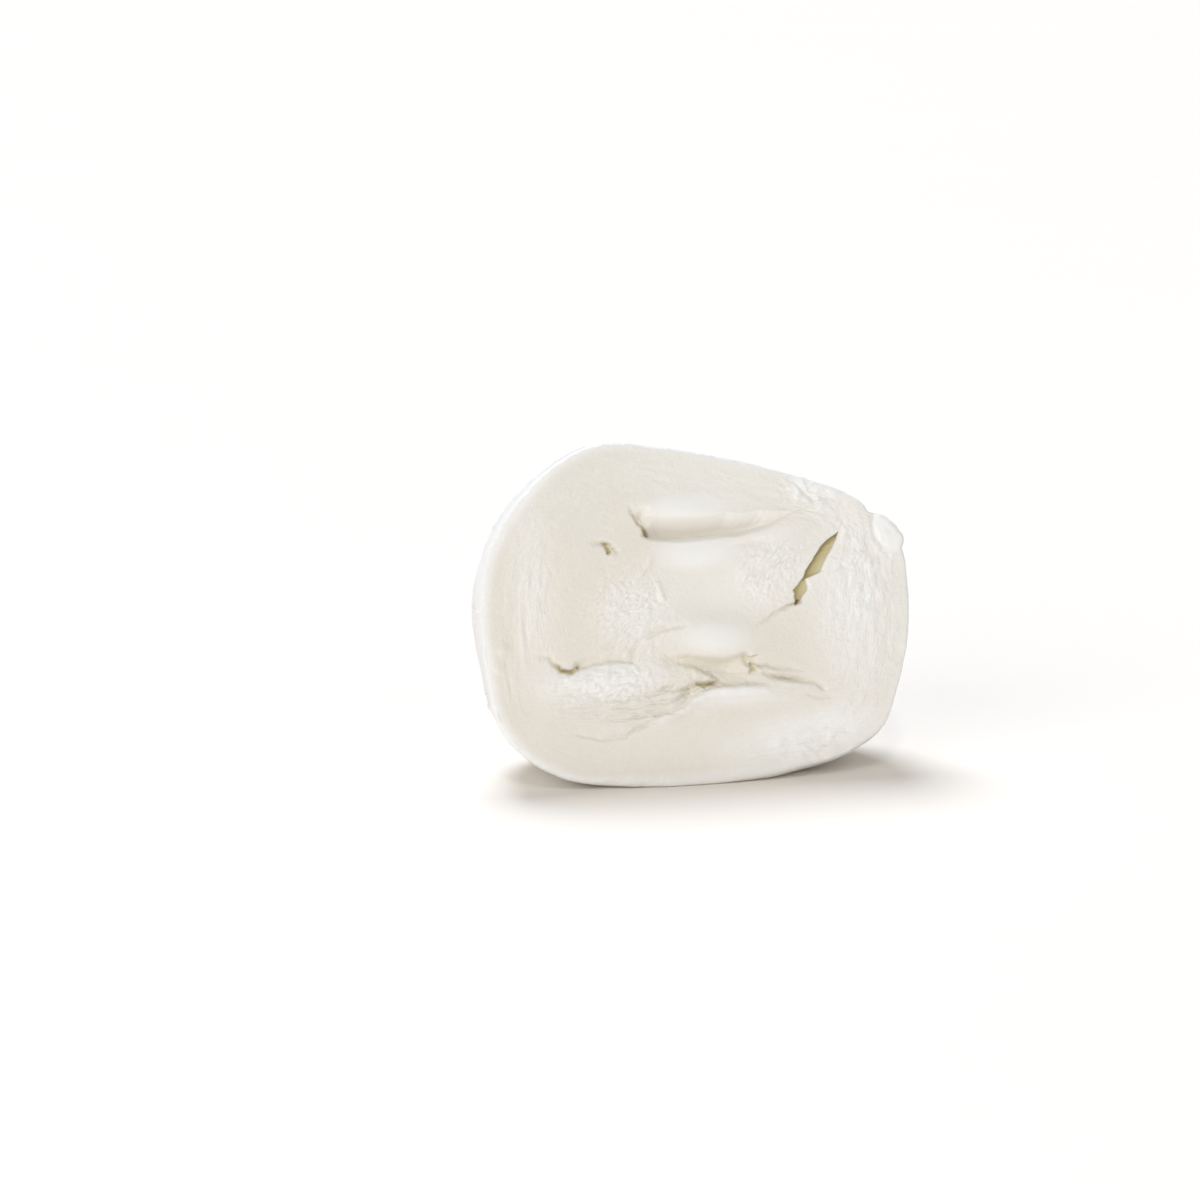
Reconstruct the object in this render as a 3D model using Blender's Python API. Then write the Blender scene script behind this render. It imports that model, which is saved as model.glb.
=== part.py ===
"""Half of a burrata: a mozzarella pouch, cut through its neck, with its curd filling and cream.

The half stands on its flank, and the cut faces -Y and leans back. Its shapes are worked out in the
frame of the cut: u runs to the right along it, v up along it, and w straight back into the pouch.
Every piece is a closed surface of rings round the middle of the cut. Metres, +Z up, with the origin
in the middle of the box under the foot.
"""

import math

import bmesh
import bpy
import numpy as np

MM = 0.001
TURN = 2 * math.pi

# the half as a whole
LEAN = math.radians(16)  # the cut leans back by this much from upright
DEPTH = 36.5 * MM  # from the cut to the back of the pouch
BULGE_AT = 6.0 * MM  # how far behind the cut the flank is widest
CUT_HEIGHT = 34.9 * MM  # height of the middle of the cut above the floor
CROWN = 1.0 * MM  # the soft cut stands out this much in its middle
FLANK_POWER = 2.25  # roundness of the flank: 2 is an ellipse, more is fuller
FOOT_POWER = 0.65  # added under the middle, where the soft half sags
GAP = 0.3 * MM  # clear space between two pieces that touch

# the flank's outline seen square on: degrees from +u, and millimetres from the middle of the cut
OUTLINE = (
    (-34, 45.4),
    (-13, 44.4),
    (5, 44.2),
    (17, 42.8),
    (29, 40.0),
    (46, 33.6),
    (69, 29.8),
    (88, 30.3),
    (106, 33.4),
    (120, 37.7),
    (142, 41.0),
    (165, 43.5),
    (193, 45.0),
    (212, 46.9),
    (229, 44.2),
    (243, 40.2),
    (262, 37.4),
    (285, 37.4),
    (300, 39.4),
    (314, 43.2),
)

# the edge of the cut
EDGE_ROUND = 1.3 * MM  # radius of the rounded edge
EDGE_INSET = 0.5 * MM  # the cut is this much smaller than the flank behind it
FOOT_INSET = 1.8 * MM  # added at the bottom, where the flank is pressed out
FOOT_SPREAD = math.radians(52)

# the tied neck, which the cut runs through, and the skin gathered towards it
NECK_ANGLE = math.radians(16.8)
NECK_RADIUS = 5.4 * MM
NECK_REACH = 1.9 * MM  # how far the stump stands out
NECK_GROOVE = 1.0 * MM  # depth of the groove round it, which the lower side of the cut lacks
GROOVE_AT = 7.2 * MM
GROOVE_WIDTH = 2.2 * MM
PLEATS = 15  # all round the neck, as if it were whole
PLEAT_DEPTH = 2.4 * MM
PLEAT_FADE = 19 * MM
SWELL_DEPTH = 0.35 * MM  # gentle unevenness of the skin

# the pocket in the pouch, in the same terms as the outline
POCKET = (
    (-165, 28.6),
    (-158, 30.4),
    (-149, 34.6),
    (-134, 31.3),
    (-120, 26.4),
    (-100, 19.6),
    (-80, 17.2),
    (-51, 16.6),
    (-36, 13.4),
    (-21, 12.8),
    (-10, 15.6),
    (-2, 19.3),
    (7, 21.2),
    (16, 25.2),
    (24, 31.4),
    (31, 33.2),
    (37, 31.0),
    (44, 22.6),
    (53, 17.9),
    (70, 14.6),
    (92, 13.2),
    (112, 14.3),
    (127, 17.0),
    (148, 21.6),
    (171, 23.6),
)
POCKET_DEPTH = 22 * MM
POCKET_POWER = 2.6

# the overhanging lip over the top of the filling, and the plain lip elsewhere
LIP_DROP = 0.7 * MM
LIP_WIDTH = 0.8 * MM
FOLD_ANGLE = math.radians(86)
FOLD_SPREAD = math.radians(34)
FOLD_DROP = 2.9 * MM
FOLD_WIDTH = 2.2 * MM

# gaps between the pouch and its filling:
# degrees, half width in degrees, outwards and inwards in mm, depth in mm
CRACKS = (
    (11, 11, 0.3, 2.0, 9),  # the long crack at the right
    (124, 4, 3.2, 1.0, 7),  # at the end of the upper fold
    (148, 4, 0.6, 1.6, 6),
    (-158, 7, 0.3, 1.4, 6),  # crescent at the left
    (-88, 9, 0.2, 1.3, 6),  # in the lower fold
    (-54, 5, 0.4, 1.5, 6),  # beside the pool
)

# the cream, in the same terms as the outline
CREAM = (
    (-147, 9.6),
    (-122, 12.4),
    (-104, 10.9),
    (-78, 13.4),
    (-52, 13.6),
    (-36, 11.0),
    (-8, 8.6),
    (22, 9.4),
    (50, 14.4),
    (72, 12.9),
    (94, 11.9),
    (112, 12.8),
    (128, 14.8),
    (144, 11.4),
    (168, 8.6),
    (190, 8.0),
)
CREAM_DEPTH = 4.0 * MM
CREAM_ROUND = 0.9 * MM
CURD_RIM = 1.0 * MM  # least width of curd between the cream and the pouch

# relief of the cut: u and v of each swell or hollow, its half widths and its height, in mm
POUCH_RELIEF = (
    (-3, 18.2, 9, 3.0, 1.5),  # lip over the upper fold
    (-10, -24.5, 10, 3.0, 0.7),  # lip under the lower fold
    (4, -20.0, 9, 2.4, 0.7),
    (30, 21.5, 3.5, 1.6, -1.0),  # torn spot near the top edge
)
CURD_RELIEF = (
    (0, 14.5, 16, 4.0, -2.2),  # sinks towards the upper fold
    (-8, 4, 8, 7, 0.5),
    (14, 7, 7, 6, 0.6),
    (-23, -14.8, 9, 2.6, 0.9),  # stringy lens at the left
    (-19, -10.4, 7, 1.2, -1.2),  # step above it
    (-10, -18.0, 9, 1.3, -1.9),  # lower fold
    (6, -14.6, 5, 2.2, -2.9),  # hollow under the pool
)
CREAM_RELIEF = (
    (-2, 9.5, 8, 3.2, 0.9),
    (0, -1, 7, 4, -0.6),
    (2.4, -8.2, 6, 3.4, 1.3),
)

# fineness of the surfaces
RAYS = 128
CREAM_RAYS = 64
POCKET_RINGS = (0.97, 0.86, 0.62, 0.3)
FLOOR_RINGS = (0.45, 0.8)
FACE_RINGS = (0.3, 0.56, 0.8, 1.0)
CURD_RINGS = (0.3, 0.6, 0.85)
DOME_RINGS = 13
# rays lie closer together at the neck and at the small gaps: degrees, spread in degrees, share
CLOSER = ((19, 14, 1.0), (124, 6, 1.6), (148, 6, 1.2), (202, 8, 0.8), (306, 7, 0.8))

COLOURS = {
    "pouch": ((0.86, 0.84, 0.78), 0.42),
    "curd": ((0.84, 0.82, 0.74), 0.5),
    "cream": ((0.9, 0.89, 0.86), 0.3),
}


def clear_scene():
    for thing in list(bpy.data.objects):
        bpy.data.objects.remove(thing, do_unlink=True)


def material(name):
    """A plain Principled material in the piece's own colour."""
    colour, roughness = COLOURS[name]
    made = bpy.data.materials.new(name)
    made.use_nodes = True
    shader = made.node_tree.nodes["Principled BSDF"]
    shader.inputs["Base Color"].default_value = (*colour, 1)
    shader.inputs["Roughness"].default_value = roughness
    shader.inputs["Metallic"].default_value = 0
    return made


def ray_angles(count):
    """Directions round the cut, closer together where CLOSER asks."""
    fine = np.linspace(0, TURN, 2881)
    density = np.ones_like(fine)
    for middle, spread, share in CLOSER:
        density += share * bump(fine, math.radians(middle), math.radians(spread))
    walked = np.concatenate(([0], np.cumsum((density[1:] + density[:-1]) / 2)))
    return np.interp(np.arange(count) / count * walked[-1], walked, fine)


def turned(angle, middle):
    """The angle seen from middle, between minus and plus half a turn."""
    return (angle - middle + math.pi) % TURN - math.pi


def bump(angle, middle, spread):
    """1 at the middle angle, falling to 0 as a bell."""
    return np.exp(-((turned(angle, middle) / spread) ** 2))


def closed_curve(points, angle):
    """Radius of the smooth closed curve through (degrees, millimetres) points, at the angles."""
    points = sorted((math.radians(degrees) % TURN, radius * MM) for degrees, radius in points)
    at = np.array([p[0] for p in points])
    radius = np.array([p[1] for p in points])
    after = np.diff(np.append(at, at[0] + TURN))
    before = np.roll(after, 1)
    rise = (np.roll(radius, -1) - radius) / after
    slope = (np.roll(rise, 1) * after + rise * before) / (after + before)
    start = (np.searchsorted(at, angle, side="right") - 1) % len(at)
    end = (start + 1) % len(at)
    span = after[start]
    t = ((angle - at[start]) % TURN) / span
    return (
        (2 * t**3 - 3 * t**2 + 1) * radius[start]
        + (t**3 - 2 * t**2 + t) * span * slope[start]
        + (3 * t**2 - 2 * t**3) * radius[end]
        + (t**3 - t**2) * span * slope[end]
    )


def relief(u, v, swells):
    """Height of the swells and hollows at a place on the cut."""
    height = np.zeros_like(u)
    for middle_u, middle_v, half_u, half_v, rise in swells:
        along = (u / MM - middle_u) / half_u
        across = (v / MM - middle_v) / half_v
        height += rise * MM * np.exp(-(along**2) - across**2)
    return height


def crown(angle, radius):
    """The low dome of the cut, 0 at its rim."""
    return CROWN * (1 - (radius / closed_curve(OUTLINE, angle)) ** 2)


def crack_widths(angle):
    """How far each gap reaches outwards and inwards at the cut, and how deep it goes."""
    outwards = np.zeros_like(angle)
    inwards = np.zeros_like(angle)
    depth = np.full_like(angle, MM)
    for degrees, spread, out, into, deep in CRACKS:
        share = np.exp(-((turned(angle, math.radians(degrees)) / math.radians(spread)) ** 4))
        outwards += share * out * MM
        inwards += share * into * MM
        depth += share * deep * MM
    return outwards, inwards, depth


def pocket_radius(angle, behind):
    """Outline of the pocket at a depth behind the cut, with the gaps that widen it."""
    outwards, _, depth = crack_widths(angle)
    bowl = (1 - np.clip(behind / POCKET_DEPTH, 0, 1) ** POCKET_POWER) ** (1 / POCKET_POWER)
    return closed_curve(POCKET, angle) * bowl + outwards * np.clip(1 - behind / depth, 0, 1)


def filling_radius(angle, behind):
    """Outline of the filling at a depth: the pocket less the clear gap and the cracks."""
    _, inwards, depth = crack_widths(angle)
    bottom = POCKET_DEPTH - GAP
    bowl = (1 - np.clip(behind / bottom, 0, 1) ** POCKET_POWER) ** (1 / POCKET_POWER)
    whole = (closed_curve(POCKET, angle) - GAP) * bowl
    return whole - inwards * np.clip(1 - behind / depth, 0, 1) * bowl


def cream_radius(angle):
    """Outline of the cream, kept clear of the edge of the filling."""
    return np.minimum(closed_curve(CREAM, angle), filling_radius(angle, 0) - CURD_RIM)


def flank_radius(angle, behind):
    """Outline of the whole half at a depth, with neck, pleats and a little unevenness."""
    power = FLANK_POWER + FOOT_POWER * np.clip(-np.sin(angle), 0, 1)
    along = np.clip((behind - BULGE_AT) / (DEPTH - BULGE_AT), 0, 1)
    round_off = (1 - along**power) ** (1 / power)
    inset = EDGE_INSET + FOOT_INSET * bump(angle, -math.pi / 2, FOOT_SPREAD)
    before = inset * np.clip(1 - behind / BULGE_AT, 0, 1) ** 2
    base = closed_curve(OUTLINE, angle)
    side = turned(angle, NECK_ANGLE) * base
    from_neck = np.hypot(side, behind)
    stump = 1 / (1 + (from_neck / NECK_RADIUS) ** 8)
    groove = np.exp(-(((from_neck - GROOVE_AT) / GROOVE_WIDTH) ** 2))
    groove = groove * np.clip((side + behind) / (from_neck + MM), 0, 1)
    round_neck = np.arctan2(behind, side)
    started = np.clip((from_neck - NECK_RADIUS) / NECK_RADIUS, 0, 1)
    fade = started * np.exp(-from_neck / PLEAT_FADE)
    pleats = np.abs(np.sin(PLEATS * round_neck / 2)) - 0.6
    skin = np.sin(3 * angle + 40 * behind / DEPTH) * np.sin(7 * angle - 5 * behind / DEPTH)
    settled = np.clip(behind / BULGE_AT, 0, 1)
    raised = NECK_REACH * stump - NECK_GROOVE * groove + PLEAT_DEPTH * pleats * fade * settled
    raised += SWELL_DEPTH * skin * settled
    return (base - before + raised) * round_off


def on_rays(angle, radius, height):
    """Points of one ring in the frame of the cut; height is towards the front."""
    return np.stack((radius * np.cos(angle), radius * np.sin(angle), -height), axis=1)


def pouch_rings():
    """From the bottom of the pocket, over the cut and round the flank, to the back."""
    angle = ray_angles(RAYS)
    rings = []
    for share in POCKET_RINGS:
        behind = np.full(RAYS, share * POCKET_DEPTH)
        rings.append(on_rays(angle, pocket_radius(angle, behind), -behind))

    pocket = pocket_radius(angle, np.zeros(RAYS))
    cut_edge = flank_radius(angle, np.zeros(RAYS)) - EDGE_ROUND
    folded = bump(angle, FOLD_ANGLE, FOLD_SPREAD)
    lip_width = LIP_WIDTH + FOLD_WIDTH * folded
    lip_drop = LIP_DROP + FOLD_DROP * folded
    inner = pocket + lip_width
    for share, drop in ((0, 1), (0.35, 0.45), (1, 0)):
        radius = pocket + lip_width * share
        rings.append(on_rays(angle, radius, face_height(angle, radius) - lip_drop * drop))
    for share in FACE_RINGS:
        radius = inner + (cut_edge - inner) * share
        rings.append(on_rays(angle, radius, face_height(angle, radius)))

    rim_height = face_height(angle, cut_edge)
    for turn in (math.radians(35), math.radians(65)):
        radius = cut_edge + EDGE_ROUND * math.sin(turn)
        rings.append(on_rays(angle, radius, rim_height - EDGE_ROUND * (1 - math.cos(turn))))
    for behind in (EDGE_ROUND, 0.55 * BULGE_AT):
        radius = flank_radius(angle, np.full(RAYS, behind))
        rings.append(on_rays(angle, radius, np.full(RAYS, -behind)))
    for step in range(DOME_RINGS):
        share = math.sin(step / DOME_RINGS * math.pi / 2) ** (2 / FLANK_POWER)
        behind = np.full(RAYS, BULGE_AT + (DEPTH - BULGE_AT) * share)
        rings.append(on_rays(angle, flank_radius(angle, behind), -behind))
    return rings, (0, 0, POCKET_DEPTH), (0, 0, DEPTH)


def face_height(angle, radius):
    """Height of the pouch's cut face on a ring."""
    u = radius * np.cos(angle)
    v = radius * np.sin(angle)
    return crown(angle, radius) + relief(u, v, POUCH_RELIEF)


def curd_height(angle, radius):
    """Height of the filling's face on a ring."""
    u = radius * np.cos(angle)
    v = radius * np.sin(angle)
    return crown(angle, radius) + relief(u, v, CURD_RELIEF)


def curd_rings():
    """From the middle of the cream's bed, up its side, over the face and down to the bottom."""
    angle = ray_angles(RAYS)
    bed = cream_radius(angle) + GAP
    floor = crown(angle, bed * 0) - CREAM_DEPTH - GAP
    edge = filling_radius(angle, np.zeros(RAYS))
    rings = []
    for share in FLOOR_RINGS:
        rings.append(on_rays(angle, bed * share, floor))
    rings.append(on_rays(angle, bed - 0.5 * GAP, floor))
    for share in (0, *CURD_RINGS):
        radius = bed + (edge - bed) * share
        rings.append(on_rays(angle, radius, curd_height(angle, radius)))
    rings.append(on_rays(angle, edge, curd_height(angle, edge) - LIP_DROP))
    for share in reversed(POCKET_RINGS):
        behind = np.full(RAYS, share * (POCKET_DEPTH - GAP))
        rings.append(on_rays(angle, filling_radius(angle, behind), -behind))
    return rings, (0, 0, -floor[0]), (0, 0, POCKET_DEPTH - GAP)


def cream_rings():
    """From the middle of its front, over the rounded edge, to the middle of its back."""
    angle = ray_angles(CREAM_RAYS)
    outline = cream_radius(angle)
    back = crown(angle, outline * 0) - CREAM_DEPTH
    inner = outline - CREAM_ROUND
    rings = []
    for share in (0.3, 0.6, 0.85, 1):
        radius = inner * share
        rings.append(on_rays(angle, radius, cream_height(angle, radius)))
    for turn in (math.radians(45), math.radians(90)):
        radius = inner + CREAM_ROUND * math.sin(turn)
        height = cream_height(angle, inner) - CREAM_ROUND * (1 - math.cos(turn))
        rings.append(on_rays(angle, radius, height))
    rings.append(on_rays(angle, outline - 0.5 * GAP, back))
    rings.append(on_rays(angle, outline * 0.5, back))
    middle = cream_height(np.zeros(1), np.zeros(1))[0]
    return rings, (0, 0, -middle), (0, 0, -back[0])


def cream_height(angle, radius):
    """Height of the cream's front on a ring."""
    u = radius * np.cos(angle)
    v = radius * np.sin(angle)
    return crown(angle, radius) + relief(u, v, CREAM_RELIEF)


def to_floor(points):
    """From the frame of the cut to the floor's frame, with what would sink in pressed flat."""
    u, v, w = points[:, 0], points[:, 1], points[:, 2]
    y = v * math.sin(LEAN) + w * math.cos(LEAN)
    z = CUT_HEIGHT + v * math.cos(LEAN) - w * math.sin(LEAN)
    return np.stack((u, y, np.maximum(z, 0)), axis=1)


def ring_solid(name, rings, first_pole, last_pole, shift):
    """A closed body through the rings, with a fan of triangles at each pole."""
    rays = len(rings[0])
    points = to_floor(np.vstack((*rings, first_pole, last_pole))) + shift
    bm = bmesh.new()
    verts = [bm.verts.new(point) for point in points]
    start, end = verts[-2], verts[-1]
    for ray in range(rays):
        beside = (ray + 1) % rays
        bm.faces.new((start, verts[beside], verts[ray]))
        for ring in range(len(rings) - 1):
            near = ring * rays
            far = near + rays
            bm.faces.new((verts[near + ray], verts[near + beside], verts[far + beside], verts[far + ray]))
        last = (len(rings) - 1) * rays
        bm.faces.new((end, verts[last + ray], verts[last + beside]))
    bmesh.ops.recalc_face_normals(bm, faces=bm.faces)
    mesh = bpy.data.meshes.new(name)
    bm.to_mesh(mesh)
    bm.free()
    mesh.shade_smooth()
    mesh.set_sharp_from_angle(angle=math.radians(50))
    mesh.materials.append(material(name))
    solid = bpy.data.objects.new(name, mesh)
    bpy.context.scene.collection.objects.link(solid)
    return solid


def main():
    clear_scene()
    pouch = pouch_rings()
    outside = to_floor(np.vstack(pouch[0]))
    middle = (outside.min(axis=0) + outside.max(axis=0)) / 2
    shift = np.array((-middle[0], -middle[1], 0))
    ring_solid("pouch", *pouch, shift)
    ring_solid("curd", *curd_rings(), shift)
    ring_solid("cream", *cream_rings(), shift)


main()
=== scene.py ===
import math

import bpy
import numpy as np
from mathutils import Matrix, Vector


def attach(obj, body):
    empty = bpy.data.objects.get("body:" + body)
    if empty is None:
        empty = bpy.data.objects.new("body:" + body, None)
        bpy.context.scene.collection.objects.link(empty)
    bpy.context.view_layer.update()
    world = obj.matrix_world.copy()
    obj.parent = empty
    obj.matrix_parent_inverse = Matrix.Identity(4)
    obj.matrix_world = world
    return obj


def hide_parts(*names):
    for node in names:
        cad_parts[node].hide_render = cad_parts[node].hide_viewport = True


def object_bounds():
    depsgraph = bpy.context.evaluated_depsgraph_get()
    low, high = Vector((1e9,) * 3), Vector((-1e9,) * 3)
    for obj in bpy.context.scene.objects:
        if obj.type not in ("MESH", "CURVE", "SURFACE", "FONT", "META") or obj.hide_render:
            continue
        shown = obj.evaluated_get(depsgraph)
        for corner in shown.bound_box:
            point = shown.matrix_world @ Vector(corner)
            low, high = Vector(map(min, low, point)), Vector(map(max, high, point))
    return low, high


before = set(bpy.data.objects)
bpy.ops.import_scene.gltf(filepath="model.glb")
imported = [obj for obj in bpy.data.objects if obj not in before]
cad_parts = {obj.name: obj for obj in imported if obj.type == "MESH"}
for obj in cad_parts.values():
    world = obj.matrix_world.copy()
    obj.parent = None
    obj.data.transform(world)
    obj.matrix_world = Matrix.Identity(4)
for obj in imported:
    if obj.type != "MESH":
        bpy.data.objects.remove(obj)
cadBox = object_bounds()
print("frame loaded:", ", ".join(sorted(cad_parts)))

mm = 0.001
turn = 2 * math.pi

# The half is worked out in millimetres in the frame of its cut: u to the right, v up along
# the cut, and height out of it towards the front. Angles run from +u, in degrees.
half = {
    "lean": 16,  # the cut leans back from upright
    "cutHeight": 34.9,  # of the middle of the cut above the floor
    "depth": 36.5,
    "bulgeAt": 6.0,  # where the flank is widest, behind the cut
    "crown": 1.0,
    "flankPower": 2.25,
    "footPower": 0.65,  # added to it below
    "edgeRound": 0.7,
    "footArc": (-92, 44),  # where the cut's edge is rounder, and half its width
    "footRound": 2.0,  # how much, and how much further back
    "footRoundDepth": 0.3,
    "edgeInset": 0.5,  # how far the cut's edge stands in from the widest flank
    "leftArc": (180, 60),
    "leftInset": 0.1,  # instead of it on the left
    "footInset": 0.9,
    "footSpread": 40,
    "footSoft": 0.25,  # how softly the flank meets the floor
    "corner": (2.6, -140, 24),  # how much the flank is drawn in at the lower left, and where
    "outline": (
        (-36, 45.3), (-25, 44.3), (-13, 43.8), (5, 43.6), (12, 43.7), (17, 42.9), (24, 40.9),
        (29, 39.6), (46, 33.7), (59, 31.2), (69, 30.1), (88, 30.5), (106, 33.4), (120, 37.7),
        (142, 41.0), (165, 43.6), (193, 45.1), (212, 47.6), (228, 45.0), (243, 40.4),
        (262, 37.4), (285, 37.4), (300, 39.4), (314, 43.2),
    ),
}

neck = {
    "angle": 18.5,
    "radius": 4.0,
    "reach": 1.6,
    "groove": 0.8,
    "grooveAt": 4.7,
    "grooveWidth": 1.3,
    "pleats": 15,
    "pleatDepth": 2.4,
    "pleatFade": 19,
    "swellDepth": 0.35,  # of the skin's slow swells
    "finePleats": 41,
    "finePleatDepth": 0.45,
    "edgeRound": 0.5,  # how much more the cut's edge is rounded at the neck
    "edgeArc": 6.5,
    "stumpAt": 43,  # from the middle of the cut
    "roughness": 0.15,  # of the stump, and how far it reaches
    "roughReach": 7,
}


def turned(angle, middle):  # angle seen from middle, between minus and plus half a turn
    return (angle - middle + math.pi) % turn - math.pi


def bump(angle, middle, spread, power=2):  # exp(-|(angle - middle) / spread| ^ power), in degrees
    return np.exp(-np.abs(turned(angle, math.radians(middle)) / math.radians(spread)) ** power)


def between(angle, points):  # straight from (degrees, value) to the next, the ends kept beyond
    start = points[0][0]
    at = np.degrees(angle - math.radians(start)) % 360
    return np.interp(at, [p[0] - start for p in points], [p[1] for p in points])


def softStep(x, low, high):  # 0 below low, 1 above high, 3t^2 - 2t^3 between
    t = np.clip((x - low) / (high - low), 0, 1)
    return t * t * (3 - 2 * t)


def closedCurve(points, angle):
    # radius through (degrees, mm) points: a cubic Hermite piece between each two, whose slopes
    # are the means of the two rises beside a point, each weighted by the other's span
    points = sorted((math.radians(degrees) % turn, radius) for degrees, radius in points)
    at = np.array([p[0] for p in points])
    radius = np.array([p[1] for p in points])
    after = np.diff(np.append(at, at[0] + turn))
    before = np.roll(after, 1)
    rise = (np.roll(radius, -1) - radius) / after
    slope = (np.roll(rise, 1) * after + rise * before) / (after + before)
    start = (np.searchsorted(at, angle % turn, side="right") - 1) % len(at)
    end = (start + 1) % len(at)
    span = after[start]
    t = ((angle - at[start]) % turn) / span
    return (
        (2 * t**3 - 3 * t**2 + 1) * radius[start] + (t**3 - 2 * t**2 + t) * span * slope[start]
        + (3 * t**2 - 2 * t**3) * radius[end] + (t**3 - t**2) * span * slope[end]
    )


def hashed(x, y, z, seed):  # whole numbers mixed by products and shifts, as 0 to 1
    n = (x * 73856093) ^ (y * 19349663) ^ (z * 83492791) ^ (seed * 26544357)
    n = n & 0xFFFFFFFF
    n = ((n ^ (n >> 15)) * 22468225) & 0xFFFFFFFF
    n = ((n ^ (n >> 13)) * 32664899) & 0xFFFFFFFF
    return ((n ^ (n >> 16)) & 0xFFFF) / 65535


def noise(x, y, z, seed):
    # values hashed at the corners of unit cubes, mixed by 3t^2 - 2t^3 along each side: -1 to 1
    x, y, z = np.broadcast_arrays(x, y, z)
    ix, iy, iz = (np.floor(c).astype(np.int64) for c in (x, y, z))
    fx, fy, fz = x - ix, y - iy, z - iz
    fx, fy, fz = (f * f * (3 - 2 * f) for f in (fx, fy, fz))
    total = 0
    for dx in (0, 1):
        for dy in (0, 1):
            for dz in (0, 1):
                share = (fx if dx else 1 - fx) * (fy if dy else 1 - fy) * (fz if dz else 1 - fz)
                total = total + share * hashed(ix + dx, iy + dy, iz + dz, seed)
    return total * 2 - 1


def layered(x, y, z, seed, layers=3):  # noise, plus half of it at twice the fineness, and so on
    total = 0
    for layer in range(layers):
        total = total + noise(x * 2**layer, y * 2**layer, z * 2**layer, seed + layer) / 2**layer
    return total


def patch(u, v, place, power=2):
    # exp(-q^power) with q the distance from (u, v) in half widths, the ellipse turned by degrees
    middleU, middleV, halfU, halfV, degrees = place
    c, s = math.cos(math.radians(degrees)), math.sin(math.radians(degrees))
    du, dv = u - middleU, v - middleV
    along, across = (du * c + dv * s) / halfU, (dv * c - du * s) / halfV
    return np.exp(-((along**2 + across**2) ** (power / 2)))


def furrow(u, v, path, above, below, power=2):
    # depth(t) exp(-(d / width)^power): d is the distance to the path of (u, v, depth) points,
    # depth runs evenly from point to point, and the width differs on the two sides of the path
    best = np.full(np.shape(u), 1e9)
    depth = np.zeros(np.shape(u))
    side = np.zeros(np.shape(u))
    for (u0, v0, d0), (u1, v1, d1) in zip(path, path[1:]):
        runU, runV = u1 - u0, v1 - v0
        t = np.clip(((u - u0) * runU + (v - v0) * runV) / (runU**2 + runV**2), 0, 1)
        offU, offV = u - u0 - t * runU, v - v0 - t * runV
        distance = np.hypot(offU, offV)
        near = distance < best
        best = np.where(near, distance, best)
        depth = np.where(near, d0 + t * (d1 - d0), depth)
        side = np.where(near, runU * offV - runV * offU, side)
    width = np.where(side > 0, above, below)
    return depth * np.exp(-((best / width) ** power))


def strands(u, v, degrees, length, width, seed, layers=2):
    # noise stretched along one direction, with thin raised threads where a second one crosses
    # zero: the cells of the first are length by width
    c, s = math.cos(math.radians(degrees)), math.sin(math.radians(degrees))
    sway = 1.2 * width * noise(u / 3, v / 3, 0.5, seed + 9)
    along, across = (u * c + v * s) / length, (v * c - u * s + sway) / width
    threads = 1 - softStep(np.abs(noise(0.8 * along, 0.45 * across, 2.5, seed + 5)), 0, 0.3)
    return 0.9 * layered(along, across, 0.5, seed, layers) + 0.5 * threads - 0.15


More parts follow.
